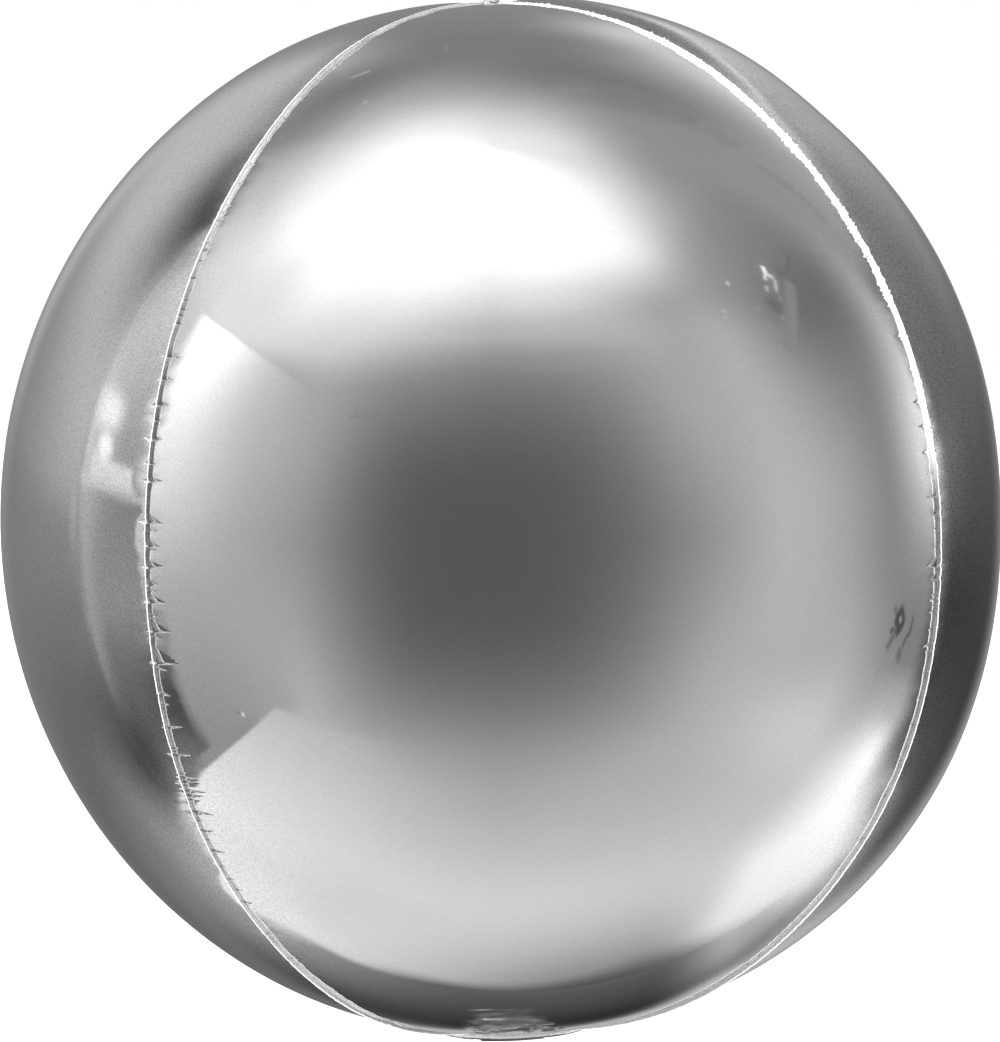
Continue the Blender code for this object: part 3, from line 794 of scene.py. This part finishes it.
# ---- Studio: what the film mirrors ----------------------------------------------------------
# The room in soft-edged regions by direction, laid over each other in this order. Azimuth 0 is the camera's
# side and 90 is to its right. Each edge is followed by half the width that it fades over.
# box:  left, soft, right, soft, low, soft, high, soft in degrees, tone at the low edge, tone at the high edge
# card: the direction that it stands in, then as a box, in hundredths of its distance
# flat: on the floor, x and y from below the balloon, in hundredths of its height over the floor
# tile: as flat, after the angle in degrees that it is turned by
# oval: centre azimuth, half width, centre elevation, half height, where its edge starts, squareness, tone
WHOLE = 999
ROOM_TONE = 0.512
ROOM = [
    ("floor", "box", WHOLE, 1, WHOLE, 1, WHOLE, 1, -21, 19, 0.83, 0.81),
    ("ceiling", "box", WHOLE, 1, WHOLE, 1, 60, 21, WHOLE, 1, 0.76, 0.99),
    ("back_wall_upper", "box", 110, 36, 252, 21, 39, 26, 70, 21, 0.46, 0.42),
    ("softbox", "box", -154, 47, 58, 22, 50, 8, WHOLE, 1, 1.02, 1.03),
    ("softbox_glow", "box", -131, 9, 22, 25, 33, 6, 58, 8, 0.83, 1.13),
    ("left_upper", "box", -120, 10, -64, 12, 35, 5, 55, 11, 0.87, 0.90),
    ("left_wall", "card", -89, -59, 2, 91, 20, -83, 8, 78.2, 1.2, 0.54, 0.73),
    ("left_wall_glow", "card", -88, -64, 3, 39, 45, -18, 36, 77.1, 1.2, 0.71, 1.23),
    ("skirting", "card", -91, -10, 2, 65, 11, -91, 4, -80, 6, 0.87, 0.80),
    ("camera_side_wide", "box", -57, 25, 44, 20, -43, 13, 40, 27, 0.66, 0.72),
    ("camera_side", "oval", -3.2, 48.9, -0.7, 47.7, -0.31, 1.2, 0.40),
    ("camera_side_core", "oval", -5.7, 32.5, -2.1, 39.0, 0.16, 3.5, 0.34),
    ("right_screen", "box", 39, 10, 71, 22, -25, 9, 45, 10, 0.69, 0.71),
    ("right_wall", "box", 82, 15, 128, 9, -36, 7, 70, 10, 0.48, 0.56),
    ("right_lamp", "box", 91, 11, 116, 11, -1, 15, 25, 23, 1.00, 0.92),
    ("floor_lamp", "box", 88, 16, 128, 28, -59, 4, -28, 9, 0.96, 1.09),
    ("floor_shadow", "box", 145, 19, 196, 12, -61, 5, -36, 5, 0.01, 0.25),
    ("floor_shade", "flat", -4, 29, 43, 12, 36, 61, 190, 55, 0.33, 0.47),
    ("beyond_sweep", "flat", -97, 43, 67, 11, 59, 3, 134, 59, 0.70, 0.49),
    ("beyond_sweep_dark", "flat", -29, 36, 47, 11, 57, 4, 181, 54, 0.35, 0.10),
    ("right_back_low", "box", 105, 7, 152, 10, -34, 9, 0, 18, 0.36, 0.15),
    ("right_back_high", "box", 106, 5, 160, 5, 0, 12, 36, 16, 0.35, 0.51),
    ("far_back", "box", 148, 21, 167, 6, 5, 6, 34, 10, 0.56, 0.95),
    ("left_back_high", "box", 187, 8, 243, 1, -0.5, 3.5, 45, 15, 0.70, 0.72),
    ("left_back_low", "box", 177.5, 2, 245, 1, -33, 18, 0, 12, 0.28, 0.55),
    ("left_back_mid", "box", 196, 6, 222, 26, 2, 28, 11, 13, 0.38, 0.33),
    ("left_side_high", "box", -117.5, 1.1, -91, 5, 4.5, 1.1, 53, 10, 0.56, 0.94),
    ("left_side_low", "box", -117.3, 1.2, -90.8, 0.8, -42, 2, 3.6, 1.3, 0.64, 0.50),
    ("left_rail", "box", -113.2, 1, -94.6, 1, 4.5, 0.8, 8.1, 0.8, 0.81, 0.86),
    ("left_strip", "box", -116.6, 1.2, -109, 12, 1, 11, 45, 8, 0.86, 0.68),
    ("left_lamp_a", "oval", -109.7, 7.2, 14.3, 3.6, 0.25, 2.5, 0.95),
    ("left_lamp_b", "oval", -108.0, 4.0, 9.4, 2.2, 0.36, 2.0, 0.98),
    ("left_low_dark", "box", -126, 14, -98, 18, -39, 10, -13, 4, 0.18, 0.48),
    ("left_low_light", "box", -146, 6, -97.7, 1.1, -61, 5, -46.9, 0.4, 0.87, 0.91),
    ("left_back_dark", "box", 222, 14, 242, 7, 30, 17, 47, 6, 0.45, 0.20),
    ("wall_foot", "box", -99, 12, -84.5, 1.1, -39.6, 1.3, -22, 11, 0.46, 0.16),
    ("wall_foot_right", "box", -86.2, 1.3, -84, 3, -35.9, 1, -22, 8, 0.45, 0.67),
    ("floor_left", "box", -118, 13, -84, 16, -72, 18, -40.6, 0.6, 0.79, 0.93),
    ("floor_mid", "box", -39, 38, 67, 70, -62, 29, -47, 22, 0.60, 0.51),
    ("right_notch", "box", 60, 22, 96, 11, 21, 20, 54, 7, 0.46, 0.35),
    ("ceiling_right", "box", 47, 18, 103, 24, 46, 13, 57, 15, 0.62, 0.57),
    ("right_floor_edge", "box", 90, 7, 103, 5, -29, 3.5, -24.5, 3.5, 0.68, 0.66),
    ("behind_right_light", "box", 129, 30, 158, 10, 31, 3, 43, 15, 0.86, 0.81),
    ("over_dark", "box", -174, 21, -114, 32, 53, 13, 63, 17, 0.21, 0.48),
    ("floor_sheet", "tile", 8, -118.5, 1.2, -60, 45, -111, 3, 0, 25, 0.72, 0.90),
    ("floor_strip", "tile", 8, -129, 1.5, -118.5, 1.0, -84, 14, -10, 14, 0.555, 0.555),
    ("left_edge_low", "box", -115, 1, -110.5, 4, -22, 7, 2, 3, 0.54, 0.66),
]
# Lamps, stands and cables: azimuth and elevation of both ends, half width in degrees, softness, tone
FITTINGS = [
    ("lamp_body", 68.2, 39.8, 67.0, 37.7, 1.69, 0.9, 0.42), ("lamp_back", 78.3, 43.0, 81.0, 41.3, 1.12, 0.8, 0.43),
    ("strut", 79.2, 40.6, 62.2, 30.6, 1.23, 0.5, 0.52), ("lamp_strut_dark", 88.5, 43.2, 81.3, 41.9, 0.36, 0.3, 0.42),
    ("lamp_yoke_left", 70.7, 42.3, 69.4, 41.4, 0.22, 0.3, 0.86), ("lamp_yoke_right", 75.3, 42.3, 72.3, 40.7, 0.25, 0.3, 0.88),
    ("lamp_cable", 71.7, 39.8, 70.7, 38.7, 0.18, 0.3, 0.62), ("lamp_head", 75.6, 45.1, 74.0, 43.7, 0.47, 0.3, 1.05),
    ("lamp_head_tail", 74.0, 43.9, 72.2, 43.2, 0.27, 0.3, 1.00), ("lamp_head_side", 74.3, 43.8, 74.6, 43.2, 0.37, 0.3, 0.95),
    ("lamp_dot", 75.2, 43.0, 75.1, 43.0, 0.37, 0.3, 1.00), ("lamp_far_dot", 58.9, 45.4, 59.1, 45.4, 0.36, 0.3, 0.85),
    ("far_dot_a", 51.3, 40.7, 51.3, 40.6, 0.31, 0.3, 0.74), ("far_dot_b", 50.0, 39.6, 50.5, 39.5, 0.26, 0.3, 0.76),
    ("far_dot_c", 67.8, 36.6, 66.9, 36.1, 0.21, 0.3, 0.64), ("far_dot_d", 61.9, 36.0, 61.1, 35.6, 0.17, 0.3, 0.66),
    ("far_dot_e", 62.3, 39.7, 61.8, 39.2, 0.21, 0.3, 0.62), ("stand_head_top", 85.2, -14.0, 86.7, -14.8, 0.52, 0.4, 0.42),
    ("stand_head", 87.4, -14.7, 89.5, -16.8, 1.86, 0.35, 0.29), ("stand_clamp", 85.3, -17.2, 87.5, -17.4, 0.47, 0.4, 0.32),
    ("stand_dot", 88.5, -15.5, 88.7, -15.6, 0.39, 0.5, 0.62), ("stand_neck", 87.2, -17.7, 85.5, -19.9, 0.75, 0.4, 0.42),
    ("stand_leg_left", 85.5, -19.9, 84.5, -24.6, 0.20, 0.4, 0.53), ("stand_leg_right", 89.2, -20.1, 87.2, -23.3, 0.35, 0.4, 0.56),
    ("curved_a", 94.0, -14.9, 94.1, -15.9, 0.47, 0.4, 0.36), ("curved_b", 94.1, -15.9, 93.9, -17.0, 0.47, 0.4, 0.33),
    ("curved_c", 93.9, -17.0, 92.6, -18.0, 0.44, 0.4, 0.35), ("curved_d", 92.6, -18.0, 92.2, -19.6, 0.51, 0.4, 0.38),
    ("curved_foot", 91.5, -20.1, 91.9, -20.6, 0.99, 0.4, 0.42), ("floor_dot", -66.6, -32.3, -66.4, -32.5, 0.36, 0.5, 0.95),
    ("floor_dot_dark", -68.1, -31.9, -67.7, -32.0, 0.31, 0.5, 0.45), ("scuff_a", -162.1, 49.1, -163.1, 49.3, 0.28, 0.8, 0.60),
    ("scuff_b", -163.1, 49.3, -166.1, 50.0, 0.35, 0.8, 0.70), ("scuff_c", -154.4, 66.1, -160.8, 67.2, 0.46, 0.8, 0.66),
    ("scuff_d", -151.3, 60.8, -152.5, 60.7, 0.27, 0.4, 0.75), ("scuff_e", -32.5, 24.3, -27.4, 24.8, 0.15, 0.5, 0.47),
    ("scuff_f", 179.3, 46.1, 180.1, 50.0, 0.10, 0.5, 0.56), ("ceiling_line_a", 159.3, 65.2, 146.1, 60.6, 2.6, 0.95, 0.50),
    ("ceiling_line_b", 146.1, 60.6, 134.2, 56.1, 2.6, 0.95, 0.49), ("ceiling_line_c", 134.2, 56.1, 128.2, 52.2, 2.4, 0.95, 0.50),
    ("ceiling_line_d", 128.2, 52.2, 123.3, 48.6, 2.2, 0.95, 0.53), ("ceiling_line_e", 118.1, 47.2, 116.9, 41.1, 1.4, 0.95, 0.54),
    ("ceiling_line_f", 116.9, 41.1, 113.7, 36.6, 1.4, 0.95, 0.55), ("ceiling_line_g", 113.7, 36.6, 110.2, 32.4, 1.4, 0.95, 0.57),
]
# Windows of the surround whose regions have sharp edges, and so a finer mesh: azimuths, elevations, degrees between points
FINE = [(-124, -76, -52, -28, 0.36), (-124, -40, 26, 43, 0.42), (-121, -86, -2, 20, 0.42), (-121, -112, -44, 52, 0.45),
        (-98, -86, -30, 0, 0.5), (172, 184, -50, 12, 0.6), (238, 249, -60, 60, 0.6), (130, 232, -67, -38, 0.6), (-150, -92, -52, -44, 0.42),
        (-96, -50, -46, -28, 0.24)]


def fades(value, low, soft_low, high, soft_high):
    inside = 1.0
    if abs(low) < WHOLE:
        inside = inside * smooth(value, low - soft_low, low + soft_low)
    if abs(high) < WHOLE:
        inside = inside * (1 - smooth(value, high - soft_high, high + soft_high))
    return inside


def room_tone(turn, lift):
    """Brightness of the room towards a direction, on the scale of a printed tone."""
    tone = np.full(turn.shape, ROOM_TONE)
    for name, kind, *row in ROOM:
        if kind == "oval":
            centre, half_w, middle, half_h, edge, power, value = row
            a = np.abs(np.mod(turn - centre + 180, 360) - 180) / half_w
            off = (a**power + np.abs((lift - middle) / half_h) ** power) ** (1 / power)
            mask = 1 - smooth(off, edge, 1 + (1 - edge) * 0.35)
        else:
            if kind == "card":
                a = np.radians(np.mod(turn - row[0] + 180, 360) - 180)
                square = np.maximum(np.cos(a), 0.12)
                u, v = 100 * np.sin(a) / square, 100 * np.tan(np.radians(np.clip(lift, -88, 88))) / square
                seen, row = np.cos(a) > 0.12, row[1:]
            elif kind in ("flat", "tile"):
                about = 0.0
                if kind == "tile":
                    about, row = row[0], row[1:]
                out = 100 / np.tan(np.radians(np.clip(-lift, 8, 89.9)))
                u, v = out * np.sin(np.radians(turn + about)), -out * np.cos(np.radians(turn + about))
                seen = lift < -8
            else:
                v, seen = lift, 1.0
                centre = (row[0] + row[2]) / 2 if abs(row[0]) < WHOLE else 0.0
                u = centre + np.mod(turn - centre + 180, 360) - 180
            left, soft_l, right, soft_r, low, soft_b, high, soft_t, tone_low, tone_high = row
            mask = fades(u, left, soft_l, right, soft_r) * fades(v, low, soft_b, high, soft_t) * seen
            bottom, top = (low if abs(low) < WHOLE else -95), (high if abs(high) < WHOLE else 95)
            value = tone_low + (tone_high - tone_low) * np.clip((v - bottom) / (top - bottom), 0, 1)
        tone = tone + (value - tone) * mask
    return tone


def direction(turn, lift):
    turn, lift = np.radians(turn), np.radians(lift)
    return np.stack([np.cos(lift) * np.sin(turn), -np.cos(lift) * np.cos(turn), np.sin(lift)], -1)


SURROUND = 150.0          # metres: far enough that every part of the film mirrors the same room


def studio_surround():
    points, faces, tones = [], [], []

    def sheet(turn, lift, tone, far):
        start = sum(len(p) for p in points)
        ids = np.arange(turn.size).reshape(turn.shape) + start
        points.append((direction(turn, lift) * far).reshape(-1, 3))
        tones.append(tone.ravel())
        faces.append(grid_quads(ids))

    turn, lift = np.meshgrid(np.arange(-180, 180.1, 1.5), np.arange(-90, 90.1, 1.5), indexing="ij")
    sheet(turn, lift, room_tone(turn, lift), SURROUND)
    for n, (left, right, low, high, step) in enumerate(FINE):
        turn, lift = np.meshgrid(np.linspace(left, right, int((right - left) / step) + 1), np.linspace(low, high, int((high - low) / step) + 1), indexing="ij")
        sheet(turn, lift, room_tone(turn, lift), SURROUND * (0.99 - 0.004 * n))
    across = np.array([-1.0, -0.55, 0.55, 1.0])
    for n, (name, az1, el1, az2, el2, half, soft, value) in enumerate(FITTINGS):
        # a capsule: its middle has the fitting's tone, its border the room's
        squash_az = math.cos(math.radians((el1 + el2) / 2))
        run = np.array([(az2 - az1) * squash_az, el2 - el1])
        length = max(np.hypot(*run), 1e-6)
        run = run / length
        cross = np.array([-run[1], run[0]])
        wide, inner = half * (1 + soft * 0.6), half * max(1 - soft, 0.1)
        cap = 1.0 if length < 1.2 * half else 0.25
        at = np.array([-wide * cap, -inner * cap * 0.7, 0.0, length, length + inner * cap * 0.7, length + wide * cap])
        girth = np.array([0.35, 0.85, 1.0, 1.0, 0.85, 0.35])
        ramp_at = np.array([-wide, -inner, inner, wide])
        S, W = np.meshgrid(at, ramp_at, indexing="ij")
        W = W * girth[:, None]
        turn = az1 + (S * run[0] + W * cross[0]) / squash_az
        lift = el1 + S * run[1] + W * cross[1]
        tone = room_tone(turn, lift)
        tone[1:-1, 1:-1] = value
        sheet(turn, lift, tone, SURROUND * (0.94 - 0.0004 * n))
    points, faces, tones = np.concatenate(points), np.concatenate(faces), np.concatenate(tones)
    obj = mesh_object("studio_surround", points, [tuple(f) for f in faces], smooth_all=False)
    if len(obj.data.vertices) != len(tones):
        raise RuntimeError("the surround lost points")
    point_values(obj, "room_tone", tones)
    material = bpy.data.materials.new("studio_surround_light")
    material.use_nodes = True
    nodes, links = nodes_of(material)
    nodes.clear()
    read = add(nodes, "ShaderNodeAttribute", attribute_name="room_tone")
    light = add(nodes, "ShaderNodeMath", operation="POWER")
    light.inputs[1].default_value = 2.2
    links.new(read.outputs["Fac"], light.inputs[0])
    shine = add(nodes, "ShaderNodeMath", operation="MULTIPLY")
    shine.inputs[1].default_value = 1.0 / FILM_TONE
    links.new(light.outputs[0], shine.inputs[0])
    glow = add(nodes, "ShaderNodeEmission")
    links.new(shine.outputs[0], glow.inputs["Strength"])
    out = add(nodes, "ShaderNodeOutputMaterial")
    links.new(glow.outputs[0], out.inputs["Surface"])
    material.cycles.emission_sampling = "NONE"
    obj.data.materials.append(material)
    obj.visible_camera = obj.visible_diffuse = obj.visible_shadow = False
    return obj


def plain(name, colour, glow=0.0):
    material = bpy.data.materials.new(name)
    material.use_nodes = True
    nodes, links = nodes_of(material)
    if glow:
        nodes.clear()
        shine = add(nodes, "ShaderNodeEmission")
        shine.inputs["Color"].default_value = colour
        shine.inputs["Strength"].default_value = glow
        out = add(nodes, "ShaderNodeOutputMaterial")
        links.new(shine.outputs[0], out.inputs["Surface"])
        material.cycles.emission_sampling = "NONE"
    else:
        nodes["Principled BSDF"].inputs["Base Color"].default_value = colour
        nodes["Principled BSDF"].inputs["Roughness"].default_value = 0.9
        nodes["Principled BSDF"].inputs["Specular IOR Level"].default_value = 0.0
    return material


def turned(name, profile, count=96):
    angle = np.linspace(0, 2 * math.pi, count, endpoint=False)
    grid = np.array([[(r * math.cos(a), r * math.sin(a), z) for a in angle] for r, z in profile])
    ids = np.arange(len(profile) * count).reshape(-1, count)
    nxt = np.roll(ids, -1, axis=1)
    faces = [tuple(q) for q in np.stack([ids[:-1], nxt[:-1], nxt[1:], ids[1:]], -1).reshape(-1, 4)]
    return mesh_object(name, grid.reshape(-1, 3), faces)


world = bpy.data.worlds.new("studio")
world.use_nodes = True
world.node_tree.nodes["Background"].inputs["Color"].default_value = (0.0, 0.0, 0.0, 1.0)
bpy.context.scene.world = world

FLOOR_Z = -0.62
floor = turned("studio_floor", [(0.01, FLOOR_Z), (1.0, FLOOR_Z), (4.0, FLOOR_Z), (9.0, FLOOR_Z)])
floor.data.materials.append(plain("floor_paper", (0.86, 0.86, 0.86, 1.0)))
dome = turned("studio_backdrop", [(9.0, FLOOR_Z - 0.01)] + [(9.0 * math.cos(t), 9.0 * math.sin(t) + FLOOR_Z) for t in np.linspace(0.02, math.pi / 2 - 0.002, 24)])
dome.data.materials.append(plain("backdrop_white", (1.0, 1.0, 1.0, 1.0), glow=1.0))
for stage in (floor, dome):
    stage.visible_glossy = False
    stage.visible_shadow = False
    stage.visible_transmission = False
dome.visible_diffuse = False
surround = studio_surround()

# name, direction that it shines in, strength, angle in degrees
LAMPS = [("overhead_light", (0.10, 0.25, -1.0), 3.85, 40.0), ("bounce_light", (0.0, 0.5, 1.0), 1.6, 60.0),
         ("front_light", (0.31, 0.85, -0.42), 4.2, 30.0)]
for lamp_name, way, strength, spread in LAMPS:
    lamp = bpy.data.objects.new(lamp_name, bpy.data.lights.new(lamp_name, "SUN"))
    lamp.data.energy = strength
    lamp.data.angle = math.radians(spread)
    lamp.rotation_euler = Vector(way).to_track_quat("-Z", "Y").to_euler()
    lamp.visible_glossy = False
    lamp.visible_camera = False
    bpy.context.scene.collection.objects.link(lamp)

bpy.context.scene.view_settings.view_transform = "Standard"
